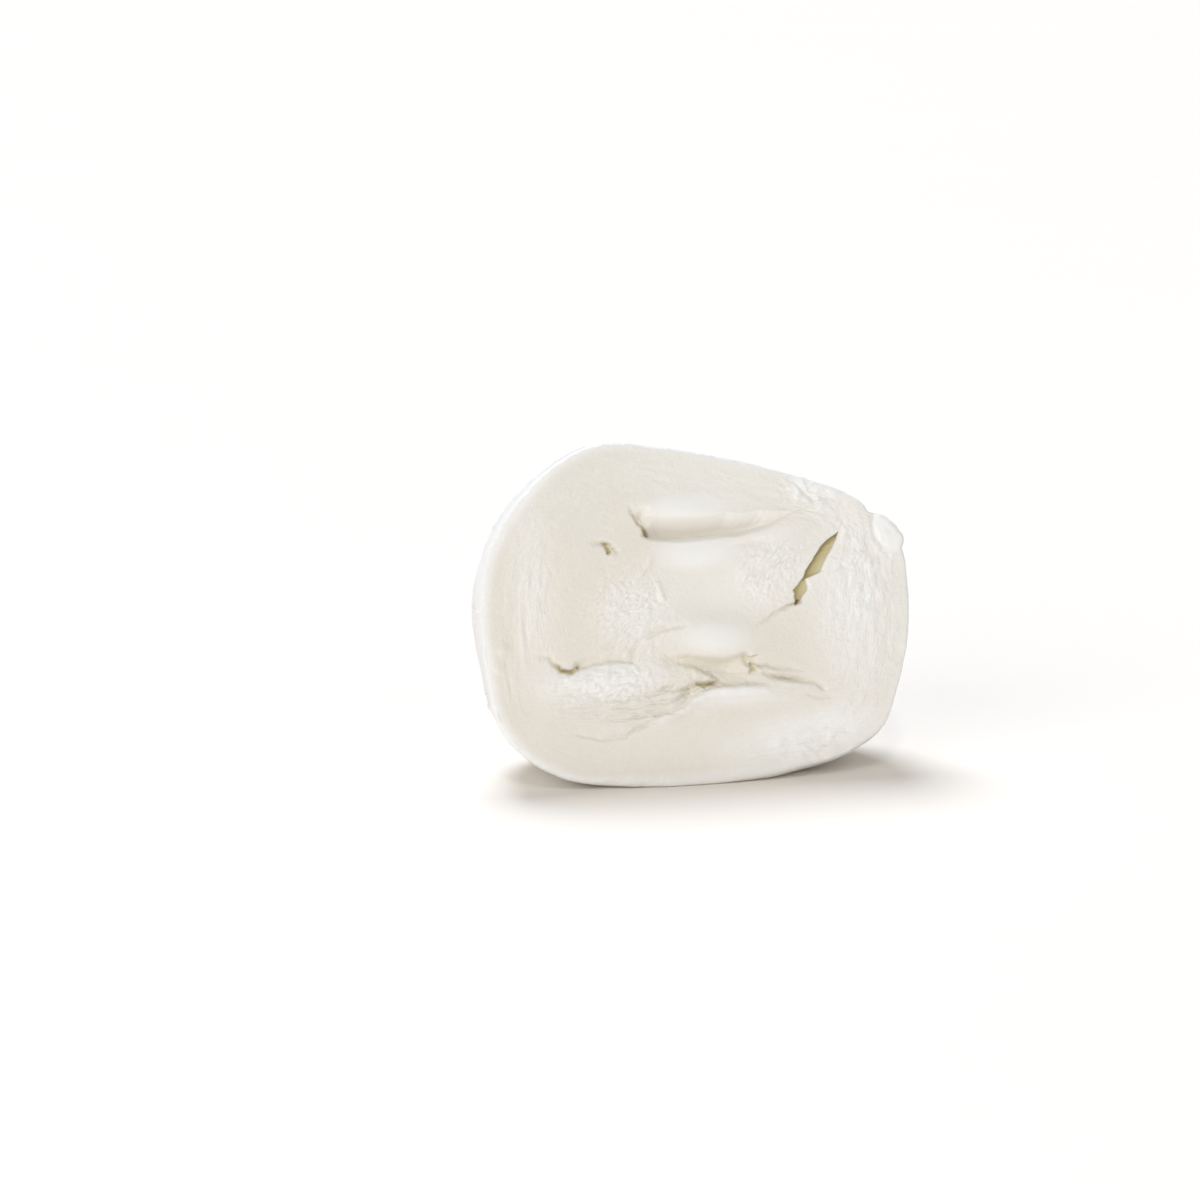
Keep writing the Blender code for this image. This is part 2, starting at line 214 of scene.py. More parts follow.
# the cut face: what pouch, curd and cream share, so that their edges meet
face = {
    "swells": (  # place, half widths, turn and height
        ((-2.5, 18.6, 8, 2.6, 0), 1.0),  # lip over the upper fold
        ((-22, -14.8, 9, 2.4, 2), 0.6),  # stringy lens
        ((-19, 0, 8, 9, 0), 0.25),
        ((2.0, -6.9, 7.4, 4.0, -4), 1.2),  # pool
        ((-0.6, -14.2, 3.8, 0.9, -26), 0.7),  # grainy ridge under it
        ((-1.5, 9.4, 9, 2.8, 3), 0.5),  # cream under the fold
        ((0, 0.5, 7, 4, 0), -0.4),
        ((14, 7, 7, 6, 30), 0.4),
        ((-10, -24.2, 11, 2.6, 5), 0.4),  # lip under the lower fold
        ((4, -19.6, 9, 2.0, 2), 0.5),
        ((4.2, -13.6, 4.6, 1.8, -8), -1.7),  # hollow under the pool
        ((-11.3, 18.7, 1.2, 0.9, 0), -0.4),
        ((-17.4, 9.9, 0.7, 0.5, 0), 0.2),
        ((26.9, 20.3, 1.6, 0.8, -15), -0.25),  # torn spot
        ((21.4, 21.0, 0.7, 1.4, -20), 0.5),
        ((25.8, 18.2, 1.3, 0.8, 30), 0.45),
        ((23.4, 22.6, 1.6, 0.7, -30), 0.4),
        ((33.5, 17.0, 2.6, 1.8, -40), 0.4),
        ((39.8, 12.9, 2.9, 3.8, 15), 0.6),  # end of the tied neck
        ((36.7, 11.9, 0.7, 0.8, 10), -0.4),
        ((-40.2, -7.4, 1.2, 0.8, 10), 0.45),
        ((-41.2, -11.0, 0.9, 0.7, 10), 0.35),
        ((30, -4, 9, 14, -12), 0.3),
    ),
    "furrows": (  # path of (u, v, depth), then width above and below it
        (((-13.2, 19.6, 0.1), (-12.3, 17.7, 0.7), (-11.9, 16.6, 0.3)), 0.35, 0.35),
        (((-12.7, 18.4, 0.2), (-11.3, 17.6, 0.8), (-10.3, 16.8, 0.5)), 0.8, 0.8),
        (((-9.6, 19.5, 0.0), (-10.3, 18.7, 0.35), (-11.2, 17.6, 0.5)), 0.5, 0.5),
        (((-21.8, 12.1, 0.0), (-20.6, 12.6, 0.3), (-19.2, 12.6, 0.5)), 0.5, 0.45),
        (((-17.4, 11.9, 0.3), (-16.9, 11.4, 0.6), (-15.9, 10.6, 0.0)), 0.35, 0.35),
        (((-34.4, -8.2, 0.0), (-32.9, -9.2, 0.2), (-31.0, -9.4, 0.3)), 0.5, 0.5),
        (((8.2, -10.8, 0.3), (9.2, -12.0, 0.7), (9.9, -13.0, 0.7)), 0.7, 0.7),
        (((9.9, -12.8, 0.7), (13.5, -13.4, 0.5), (17.6, -13.8, 0.3), (19.7, -13.7, 0.0)), 0.4, 0.35),
        (((12.2, -14.9, 0.4), (15.4, -15.7, 0.8), (19.5, -16.3, 0.6), (22.6, -17.0, 0.3),
          (23.9, -18.1, 0.5), (25.0, -18.3, 0.0)), 0.6, 0.3),
        (((8.8, -16.3, 0.3), (12.3, -16.5, 0.2), (14.0, -16.6, 0.0)), 0.35, 0.3),
        (((19.3, -18.8, 0.0), (22.4, -19.8, 0.3), (25.5, -19.9, 0.3), (27.6, -19.4, 0.0)), 0.5, 0.35),
        (((-25.0, -11.6, 1.0), (-23.0, -11.1, 0.6), (-20.9, -10.8, 0.5), (-17.9, -10.7, 0.5),
          (-14.5, -10.9, 0.6), (-13.5, -8.7, 0.5), (-12.4, -7.2, 0.1)), 1.2, 0.35),
        (((-21.4, -8.4, 0.0), (-17.7, -7.5, 0.25), (-14.5, -5.1, 0.2), (-12.4, -3.2, 0.0)), 0.8, 0.5),
        (((-28.3, -16.9, 0.1), (-21.3, -17.8, 0.3), (-17.3, -17.7, 0.2)), 0.4, 0.35),
        (((-24.4, -18.5, 0.1), (-17.3, -18.4, 0.4), (-11.3, -18.1, 0.5),
          (-6.7, -16.6, 0.3)), 0.6, 0.35),
        (((-10.2, -17.1, 0.1), (-8.1, -16.9, 0.4), (-4.1, -17.1, 0.7), (-1.4, -16.2, 0.9),
          (2.4, -16.0, 0.9), (4.2, -15.6, 0.3)), 0.7, 0.4),
        (((-11.4, -19.7, 0.1), (-8.5, -19.5, 0.6), (-6.0, -19.0, 0.7), (-3.1, -17.7, 0.9)), 0.6, 0.35),
        (((-29.8, -25.1, 0.0), (-25.8, -25.1, 0.2), (-21.8, -26.1, 0.25), (-16.2, -25.8, 0.35),
          (-14.5, -24.5, 0.5), (-11.6, -23.5, 0.4), (-8.5, -23.0, 0.0)), 0.6, 0.3),
        (((-19.2, -22.7, 0.1), (-13.5, -22.0, 0.3), (-8.6, -21.4, 0.4), (-5.3, -20.4, 0.5),
          (-3.2, -18.7, 0.7), (-1.0, -17.3, 0.7), (2.0, -16.6, 0.6), (7.2, -16.3, 0.5),
          (11.3, -16.5, 0.1)), 0.9, 0.3),
        (((-15.0, -23.3, 0.0), (-8.4, -22.2, -0.15), (-4.7, -21.0, -0.25), (-2.6, -19.4, -0.3),
          (-0.4, -18.1, -0.3), (2.4, -17.4, -0.3), (7.2, -17.1, -0.25), (12.0, -17.5, -0.15),
          (20.0, -18.6, 0.0)), 0.4, 1.3),
        (((-12.6, -6.8, 0.1), (-9.5, -5.5, 0.4), (-7.4, -4.8, 0.5), (-2.3, -4.1, 0.0)), 0.9, 0.5),
        (((-8.6, -9.9, 0.1), (-6.0, -10.9, 0.5), (-3.0, -11.2, 0.7), (1.0, -11.9, 0.7),
          (5.0, -12.1, 0.7), (8.5, -11.3, 0.7)), 0.8, 1.8),
        (((-4.7, -11.9, 0.2), (-1.5, -12.6, 0.4), (1.2, -14.0, 0.5), (3.2, -15.5, 0.3)), 0.4, 0.4),
        (((20.3, -0.5, 0.7), (18.0, -1.4, 0.6), (15.9, -2.3, 0.4), (14.1, -3.4, 0.35),
          (12.0, -4.5, 0.2), (10.9, -5.3, 0.0)), 0.35, 0.35),
        (((36.6, 16.2, 0.4), (36.5, 14.6, 0.35), (36.8, 12.0, 0.3), (37.8, 10.2, 0.15),
          (39.8, 9.0, 0.1), (42.2, 8.8, 0.0)), 0.6, 0.6),
        (((34.6, 12.0, 0.0), (35.0, 10.2, 0.3), (33.2, 8.6, 0.0)), 0.6, 0.6),
        (((38.6, 15.4, 0.0), (39.2, 13.6, 0.08), (40.2, 12.4, 0.08), (40.8, 10.8, 0.0)), 0.6, 0.6),
        (((20.0, 24.2, 0.1), (21.9, 22.1, 0.2), (24.3, 19.6, 0.2), (25.5, 19.2, 0.0)), 0.5, 0.5),
        (((4.7, 10.8, 0.0), (9.9, 11.6, 0.25), (13.0, 12.0, 0.2), (16.0, 12.9, 0.0)), 0.4, 1.0),
        (((-9.6, 9.2, -0.1), (-10.1, 8.0, -0.25), (-11.8, 6.1, -0.25), (-13.9, 4.8, 0.0)), 0.6, 0.6),
        (((-8.5, 3.9, -0.2), (-7.9, 1.6, -0.25), (-7.7, -0.1, 0.0)), 0.6, 0.6),
    ),
    "holes": (  # narrow openings with painted shade inside, in the same form
        (((-12.2, 17.5, 0.2), (-11.8, 16.4, 0.7), (-11.2, 15.6, 0.8), (-10.5, 14.9, 1.3),
          (-9.9, 13.9, 1.6)), 0.42, 0.42),
        (((-19.1, 12.4, 0.6), (-17.5, 12.1, 0.6)), 0.35, 0.35),
        (((-18.5, 12.1, 1.1), (-18.1, 10.9, 1.3)), 0.5, 0.5),
        (((-31.2, -9.4, 0.1), (-29.9, -10.9, 0.7), (-28.6, -12.1, 1.3), (-26.7, -12.6, 1.5),
          (-25.2, -11.8, 0.6)), 0.44, 0.4),
        (((9.6, -13.0, 0.3), (10.2, -13.6, 0.9), (9.4, -14.0, 0.6)), 0.42, 0.35),
        (((-4.4, -16.9, 0.3), (-3.2, -16.9, 0.6)), 0.4, 0.4),
        (((-1.2, -16.3, 0.6), (1.8, -16.2, 0.8)), 0.5, 0.4),
    ),
    "strands": (  # place, direction, length, width, height
        ((34, -3, 9, 19, 0), 80, 3.6, 0.75, 0.20),
        ((-14, -2, 8, 9, 30), 40, 1.6, 0.8, 0.12),
        ((14, 6, 7, 7, 30), 42, 1.6, 0.8, 0.12),
        ((-21, -15.2, 12, 4, 2), 1, 2.6, 0.7, 0.20),
        ((-12, -20.4, 15, 3.6, 3), 4, 4.0, 0.6, 0.30),
        ((22, -28.6, 10, 3.2, 12), 14, 3.0, 0.8, 0.42),
        ((24, 21.2, 6, 3, -20), -30, 1.4, 1.1, 0.17),
        ((12, -15.5, 12, 3, -8), -8, 5.0, 0.7, 0.16),
        ((33, 9, 6, 6, 0), 70, 2.0, 0.8, 0.22),
        ((-33, 6, 4, 13, 0), 88, 4.0, 0.8, 0.14),
    ),
    "rimStrands": (2.0, 13.0, 5.5, 0.9, 0.14),  # from, to, length, width, height
    "rimPlain": (0.85, -115, 45),  # how many fewer at the lower left, and where
    "bend": (1.4, 0.22),  # size and amount of the bends in furrows and holes
    "furrowDepth": 1.4,
    # painted shade: share per millimetre of a furrow's depth, and the most inside a hole
    "furrowShade": 0.16,
    "holeShade": 0.8,
    "creamCalm": 0.9,  # how much smoother the cream is
    "grain": 0.03,
    "grainSize": 0.9,
    "granular": (  # coarser grain: place and height
        ((-13, -2, 8, 9, 30), 0.11),
        ((14, 7, 8, 6, 30), 0.10),
        ((-21, -15, 12, 4, 2), 0.16),
        ((24, 21, 7, 3.5, -20), 0.14),
        ((33, 8, 7, 9, 0), 0.09),
        ((22, -28.6, 10, 3.2, 12), 0.08),
        ((-1, -14.6, 5, 1.8, -26), 0.16),
        ((39, 12, 4, 5, 20), 0.10),
    ),
    "creamy": (  # how smooth and white: place and amount
        ((-1.8, 18.8, 9.5, 3.0, 2), 0.85),
        ((-0.8, 10.4, 8.6, 3.6, 3), 0.9),
        ((0.2, 3.0, 7.6, 6.0, 0), 0.25),
        ((2.2, -7.2, 7.4, 3.4, -4), 0.8),
        ((14, 12.4, 8, 1.6, 14), 0.4),
        ((39.4, 13.0, 3.0, 4.4, 20), 0.4),
    ),
    "flat": (  # where the fibres lie level, and where they rise to the right
        ((-20, -16.5, 14, 6, 2), 1.0),
        ((14, -17, 14, 4, -4), 0.8),
        ((20, -28, 13, 5, 12), 0.9),
    ),
    "diagonal": (
        ((-14, -1, 9, 9, 30), 1.0),
        ((14, 7, 8, 6, 30), 1.0),
        ((24, 20, 8, 4, -20), 0.7),
    ),
    "rimwise": (  # where they follow the edge
        ((33, -2, 9, 19, 0), 0.8),
        ((-34, 4, 5, 20, 0), 0.4),
    ),
    "rimPaleAndHighlight": (0.25, 0.75, 175, 60),  # paler at the rim as the skin's edge, with more on the left as a painted highlight: how much, how much more on the left, and where
    "paleAndHighlight": (  # lighter paste, and painted highlights in a few places
        ((31.5, 0, 9, 22, 0), 0.8),
        ((8, 25, 24, 7, -8), 0.4),
        ((-34, 6, 5, 22, 0), 0.45),
        ((14, 6, 10, 8, 30), 0.7),
        ((-13, -2, 8, 8, 30), 0.7),
        ((-20, -15, 12, 4, 2), 1.0),
        # painted highlight: the glossy glints at the lower right
        ((20, -27, 15, 5, 10), 0.85),
        ((6, -19, 12, 2, 0), 0.6),
        ((39.6, 12.6, 3.4, 4.4, 15), 1.0),
        ((-4, -27, 30, 7, 0), 0.22),
        ((24, 21, 6, 3, -25), 0.5),
        # painted highlight along the top edge of the lower lip
        ((5, -17.8, 9, 0.9, 1), 0.5),
        ((-6.5, -21.3, 6, 0.9, 30), 0.4),
    ),
    "cool": (  # less pink paste
        ((-8, 25, 32, 9, -4), 0.8),
        ((0, 1, 9, 7, 0), 0.9),
        ((42, -4, 5, 18, 0), 0.9),
        ((-24, 14, 8, 10, 30), 0.5),
    ),
}


def sumOf(u, v, places, power=2):  # sum of amount times patch
    total = np.zeros(np.shape(u))
    for place, amount in places:
        total += amount * patch(u, v, place, power)
    return total


def faceSurface(angle, radius):
    # height = crown (1 - (r / R)^2) + swells - furrows - holes + strands, and with it the marks:
    # painted shade in furrows and holes, how creamy and stringy it is, which way its fibres run
    u, v = radius * np.cos(angle), radius * np.sin(angle)
    rim = closedCurve(half["outline"], angle)
    height = half["crown"] * (1 - (radius / rim) ** 2) + sumOf(u, v, face["swells"])
    size, bend = face["bend"]
    bendU = bend * layered(u / size, v / size, 0.5, 71, 2)
    bendV = bend * layered(u / size, v / size, 3.5, 75, 2)
    deep = np.zeros(np.shape(u))
    for path, above, below in face["furrows"]:
        cut = face["furrowDepth"] * furrow(u + bendU, v + bendV, path, above, below)
        height -= cut
        # painted shade along the furrow, by its depth
        deep = np.maximum(deep, face["furrowShade"] * cut)
    for path, above, below in face["holes"]:
        cut = furrow(u + bendU, v + bendV, path, above, below, 3)
        height -= cut
        # painted shade inside the hole
        deep = np.maximum(deep, face["holeShade"] * softStep(cut, 0.1, 1.0))
    creamy = np.clip(sumOf(u, v, face["creamy"], 3.4), 0, 1)
    calm = 1 - face["creamCalm"] * creamy
    rough = np.zeros(np.shape(u))
    stringy = np.zeros(np.shape(u))
    for index, (place, degrees, length, width, rise) in enumerate(face["strands"]):
        share = patch(u, v, place, 3)
        lines = strands(u, v, degrees, length, width, 20 + 3 * index)
        rough += share * rise * lines
        stringy = np.maximum(stringy, share * softStep(lines, -0.4, 1.2))
    low, high, length, width, rise = face["rimStrands"]
    inside = rim - radius
    share = softStep(inside, low, low + 2) * (1 - softStep(inside, high - 5, high))
    share = share * softStep(noise(u / 7, v / 7, 0.5, 66), -0.6, 0.5)
    fewer, middle, spread = face["rimPlain"]
    share = share * (1 - fewer * bump(angle, middle, spread, 4))
    lines = layered(40 * np.cos(angle) / length, 40 * np.sin(angle) / length, inside / width, 60, 2)
    rough += share * rise * lines
    stringy = np.maximum(stringy, 0.7 * share * softStep(lines, -0.4, 1.2))
    grain, size = face["grain"] + sumOf(u, v, face["granular"], 3), face["grainSize"]
    height += (rough + grain * layered(u / size, v / size, 0.5, 80, 3)) * calm
    flat = np.clip(sumOf(u, v, face["flat"], 3), 0, 1)
    diagonal = np.clip(sumOf(u, v, face["diagonal"], 3), 0, 1 - flat)
    rimwise = (0.2 + np.clip(sumOf(u, v, face["rimwise"], 3), 0, 0.8)) * (1 - flat - diagonal)
    # paler rim: the skin edge's own tone, and on the left a painted highlight
    least, more, middle, spread = face["rimPaleAndHighlight"]
    rimPaleAndHighlight = least + more * bump(angle, middle, spread, 4)
    paleAndHighlight = sumOf(u, v, face["paleAndHighlight"], 2.6) + rimPaleAndHighlight * (1 - softStep(inside, 0.5, 3))
    marks = {
        "deep": deep, "creamy": creamy, "stringy": np.clip(stringy * calm, 0, 1),
        "paleAndHighlight": np.clip(paleAndHighlight, 0, 1), "cool": np.clip(sumOf(u, v, face["cool"], 2.6), 0, 1),
        "flat": flat * calm, "diagonal": diagonal * calm,
        "fibred": rimwise * calm * softStep(inside, 2.5, 4),
    }
    return height, marks


pocket = {
    "outline": (
        (-165, 28.6), (-158, 30.4), (-149, 34.6), (-134, 31.3), (-120, 26.4), (-100, 19.6),
        (-80, 17.2), (-51, 16.6), (-36, 13.4), (-21, 12.8), (-10, 16.0), (-2.5, 20.2),
        (1.9, 21.3), (5.5, 22.6), (8, 23.9), (10.2, 24.9), (13.7, 26.2), (17.4, 27.9),
        (20.1, 29.8), (22.6, 31.3), (24.5, 32.2), (27, 33.0), (31, 33.2), (37, 31.0),
        (44, 22.6), (53, 17.9), (70, 14.6), (92, 13.2), (112, 14.3), (127, 17.0), (148, 21.6),
        (171, 23.6),
    ),
    "depth": 22,
    "power": 2.6,
    "wallDepths": (0.3, 0.7, 0.95, 1.2, 1.5, 2.2, 3.5, 6, 11, 17, 22),
    "opened": (  # how far the filling stands back from the wall along the crack
        (-4.5, 0), (-2.6, 0.8), (1.9, 1.8), (5.4, 3.1), (9.3, 3.7), (14.3, 3.7), (17.5, 3.6),
        (20.2, 3.6), (21.9, 3.4), (22.9, 2.9), (23.5, 1.9), (24.0, 0),
    ),
    "bottom": (0.6, 1.5),  # depths between which the crack's two walls lean to meet
    "crackShadeDepth": 1.1,  # depth at which they have their full painted shade
    "outerShare": 0.88,  # of the crack's width that the outer wall leans inwards
    "tab": ((4.6, 0), (6.4, -0.9), (8.4, -2.1), (10.2, -2.9), (11.2, -0.6), (11.8, 0)),  # its lump
    "fold": (  # share of the overhanging lip above
        (38, 0), (41, 0.08), (44, 0.25), (50, 0.6), (58, 0.78), (70, 0.9), (90, 1), (118, 1),
        (124, 0.8), (128, 0.2), (130, 0),
    ),
    "wander": 0.14,  # unevenness of its edge
    "foldLip": (3.3, 4.1, 1.25),  # drop, width, and the power of the fall towards the edge
    "foldBed": 0.16,  # share of its width that stays level beside the filling
    # painted shade on the lip's slope under the fold
    "foldShade": 0.06,
    "foldCream": (0.5, 0.7),  # how creamy it is, and how much less at its edge
    "crackLip": (0.6, 0.6),  # drop and width of the rounding along the crack
    "plainWidth": 0.3,  # of the lip elsewhere
    "ledge": (2.5, 1.2, 2.0),  # drop, width and power of the filling's edge under the fold
    "slantLimit": 3.0,
    "under": 0.02,  # gap between the wall's edge and the filling's
    "tuck": 0.12,  # how far the filling's edge runs on beneath the wall's
}


def edgeWander(angle):  # small unevenness of the pocket's edge, less under the fold
    uneven = pocket["wander"] * layered(13 * np.cos(angle), 13 * np.sin(angle), 0.5, 90, 3)
    return uneven * (1 - 0.85 * between(angle, pocket["fold"]))


def pocketEdge(angle):  # the wall's: outline, unevenness and the lump
    return closedCurve(pocket["outline"], angle) + edgeWander(angle) + between(angle, pocket["tab"])


def opened(angle):  # width of the crack along a ray, with ragged sides
    ragged = 1 + 0.1 * layered(20 * np.cos(angle), 20 * np.sin(angle), 0.5, 95, 2)
    return between(angle, pocket["opened"]) * ragged


def fillingEdge(angle):  # outline and unevenness, less the crack
    return closedCurve(pocket["outline"], angle) + edgeWander(angle) - opened(angle) - pocket["under"]


def slant(angle):
    # sqrt(1 + (r' / r)^2): how much longer than its true width a band along the edge is on a ray
    step = 0.01
    before, after = (closedCurve(pocket["outline"], angle + side * step) for side in (-1, 1))
    secant = np.sqrt(1 + ((after - before) / step / (after + before)) ** 2)
    return np.minimum(secant, pocket["slantLimit"])


def bowl(share):  # (1 - share^power)^(1 / power)
    return (1 - np.clip(share, 0, 1) ** pocket["power"]) ** (1 / pocket["power"])


def crackShade(down):  # painted shade on a wall, by how far down it is
    return softStep(down, 0, pocket["crackShadeDepth"])


def flankRadius(angle, behind):
    # outline times (1 - along^power)^(1 / power), with neck stump, its groove and the pleats
    power = half["flankPower"] + half["footPower"] * np.clip(-np.sin(angle), 0, 1)
    along = np.clip((behind - half["bulgeAt"]) / (half["depth"] - half["bulgeAt"]), 0, 1)
    roundOff = (1 - along**power) ** (1 / power)
    left = bump(angle, *half["leftArc"], 4)
    inset = half["edgeInset"] * (1 - left) + half["leftInset"] * left
    inset = inset + half["footInset"] * bump(angle, -90, half["footSpread"])
    before = inset * np.clip(1 - behind / half["bulgeAt"], 0, 1) ** 2
    base = closedCurve(half["outline"], angle)
    side = turned(angle, math.radians(neck["angle"])) * base
    fromNeck = np.hypot(side, behind)
    stump = 1 / (1 + (fromNeck / neck["radius"]) ** 8)
    groove = np.exp(-(((fromNeck - neck["grooveAt"]) / neck["grooveWidth"]) ** 2))
    groove = groove * np.clip((side + behind) / (fromNeck + 1), 0, 1)
    roundNeck = np.arctan2(behind, side)
    started = np.clip((fromNeck - neck["radius"]) / neck["radius"], 0, 1)
    fade = started * np.exp(-fromNeck / neck["pleatFade"])
    pleats = np.abs(np.sin(neck["pleats"] * roundNeck / 2)) - 0.6
    wavy = 2 * noise(fromNeck / 7, 0.5, 0.5, 33)
    fine = np.abs(np.sin(neck["finePleats"] * roundNeck / 2 + wavy)) - 0.6
    skin = np.sin(3 * angle + 40 * behind / half["depth"])
    skin = skin * np.sin(7 * angle - 5 * behind / half["depth"])
    settled = np.clip(behind / half["bulgeAt"], 0, 1)
    raised = neck["reach"] * stump - neck["groove"] * groove
    raised += neck["pleatDepth"] * pleats * fade * settled + neck["swellDepth"] * skin * settled
    raised += neck["finePleatDepth"] * fine * fade * settled
    drawn, middle, spread = half["corner"]
    raised -= drawn * bump(angle, middle, spread) * softStep(behind, 0, 1.5 * half["bulgeAt"])
    return (base - before + raised) * roundOff


def skinFibre(angle, behind):
    # place among the skin's fibres, in cells: they run away from the neck; and how clear they are
    side = turned(angle, math.radians(neck["angle"])) * closedCurve(half["outline"], angle)
    roundNeck = np.arctan2(behind, side)
    fromNeck = np.hypot(side, behind)
    return (28 * np.cos(roundNeck), 28 * np.sin(roundNeck), fromNeck / 5), np.exp(-fromNeck / 28)


def inFrame(angle, radius, height):  # a ring in the frame of the cut
    angle, radius, height = np.broadcast_arrays(angle, radius, height)
    return np.stack((radius * np.cos(angle), radius * np.sin(angle), height), axis=-1)


def toFloor(points):
    # y = v sin(lean) - height cos(lean), z = v cos(lean) + height sin(lean), pressed flat at the
    # floor by z' = (z + sqrt(z^2 + soft^2)) / 2
    u, v, height = points[..., 0], points[..., 1], points[..., 2]
    lean = math.radians(half["lean"])
    y = v * math.sin(lean) - height * math.cos(lean)
    z = half["cutHeight"] + v * math.cos(lean) + height * math.sin(lean)
    soft = half["footSoft"]
    z = (z + np.sqrt(z**2 + soft**2)) / 2
    return np.stack((u, y, z), axis=-1) * mm


def gridNormals(points):
    # cross product of the differences from ring to ring and along the rings
    along = np.roll(points, -1, axis=1) - np.roll(points, 1, axis=1)
    across = np.gradient(points, axis=0)
    normal = np.cross(across, along)
    return normal / np.maximum(np.linalg.norm(normal, axis=-1, keepdims=True), 1e-12)


def solidOfRings(name, points, marks, shift, sharpDegrees=55):
    # a closed surface: quads between neighbouring rings, and a fan of triangles round the
    # middle of the first and of the last ring
    rings, rays = points.shape[:2]
    ends = points[[0, -1]].mean(axis=1)
    ring, ray = np.meshgrid(np.arange(rings - 1), np.arange(rays), indexing="ij")
    beside = (ray + 1) % rays
    quads = np.stack((ring * rays + ray, (ring + 1) * rays + ray, (ring + 1) * rays + beside,
                      ring * rays + beside), axis=-1).reshape(-1, 4)
    rayList = np.arange(rays)
    nextRay = (rayList + 1) % rays
    startPole, endPole = rings * rays, rings * rays + 1
    startFan = np.stack((np.full(rays, startPole), rayList, nextRay), axis=-1)
    lastRow = (rings - 1) * rays
    endFan = np.stack((np.full(rays, endPole), lastRow + nextRay, lastRow + rayList), axis=-1)
    corners = np.concatenate((quads.ravel(), startFan.ravel(), endFan.ravel()))
    sizes = np.concatenate((np.full(len(quads), 4), np.full(2 * rays, 3)))
    verts = np.concatenate((points.reshape(-1, 3), ends)) + shift
    mesh = bpy.data.meshes.new(name)
    mesh.vertices.add(len(verts))
    mesh.vertices.foreach_set("co", verts.astype(np.float32).ravel())
    mesh.loops.add(len(corners))
    mesh.loops.foreach_set("vertex_index", corners.astype(np.int32))
    mesh.polygons.add(len(sizes))
    starts = np.concatenate(([0], np.cumsum(sizes)[:-1]))
    mesh.polygons.foreach_set("loop_start", starts.astype(np.int32))
    mesh.update(calc_edges=True)
    mesh.validate()
    for mark, values in marks.items():
        single = values.ndim == 2
        values = values.reshape(rings, rays, -1)
        values = np.concatenate((values.reshape(rings * rays, -1), values[[0, -1]].mean(axis=1)))
        layer = mesh.attributes.new(mark, "FLOAT" if single else "FLOAT_VECTOR", "POINT")
        layer.data.foreach_set("value" if single else "vector", values.astype(np.float32).ravel())
    mesh.shade_smooth()
    mesh.set_sharp_from_angle(angle=math.radians(sharpDegrees))
    piece = bpy.data.objects.new(name, mesh)
    bpy.context.scene.collection.objects.link(piece)
    print("made", name, len(sizes), "faces")
    return piece


markNames = ("deep", "creamy", "stringy", "paleAndHighlight", "cool", "skin", "flat", "diagonal", "fibred")


def stack(angle, radius, height, marks, fibre=None):
    # a stack of rings with its marks, single numbers spread over it, and its fibres' places
    points = inFrame(angle, radius, height)
    spread = {k: np.broadcast_to(marks.get(k, 0.0), points.shape[:2]).astype(float) for k in markNames}
    if fibre is None:
        inside = closedCurve(half["outline"], angle) - radius
        fibre = (13 * np.cos(angle), 13 * np.sin(angle), inside / 0.4)
    spread["fibre"] = np.stack([np.broadcast_to(f, points.shape[:2]) for f in fibre], axis=-1)
    spread["cut"] = points.copy()
    return points, spread


def joined(stacks):
    points = np.concatenate([points for points, marks in stacks])
    return points, {k: np.concatenate([marks[k] for points, marks in stacks]) for k in stacks[0][1]}


def last(marks, keep=1.0):  # the marks of the last ring, faded
    return {k: values[-1:] * keep for k, values in marks.items()}


pouch = {
    "rays": 720,
    "lipRings": 11,
    "faceRings": 48,
    "rimRings": 5,
    "flankRings": 5,
    "domeRings": 46,
    "threadHeight": 0.14,
    "threadSize": (7, 4.2, 4.2),
    "threadWidth": 0.09,  # in cells
    "crossingSize": (4, 9, 6),  # of a second set of threads, which are lower
    "crossingWidth": 0.07,
    "crossingShare": 0.7,
    "sway": 1.6,
    "swaySize": 11,
    "threadPatch": 9,  # size of the patches with and without threads
    "blisterHeight": 0.22,
    "blisterSize": 2.6,
    "dimpleDepth": 0.25,
    "dimpleSize": 3.4,
    "grainHeight": 0.05,
    "grainSize": 1.3,
    # painted shade at the foot, where the flank meets the floor
    "footShade": 0.1,
    "roughness": 0.38,
    "bump": 0.00016,
}


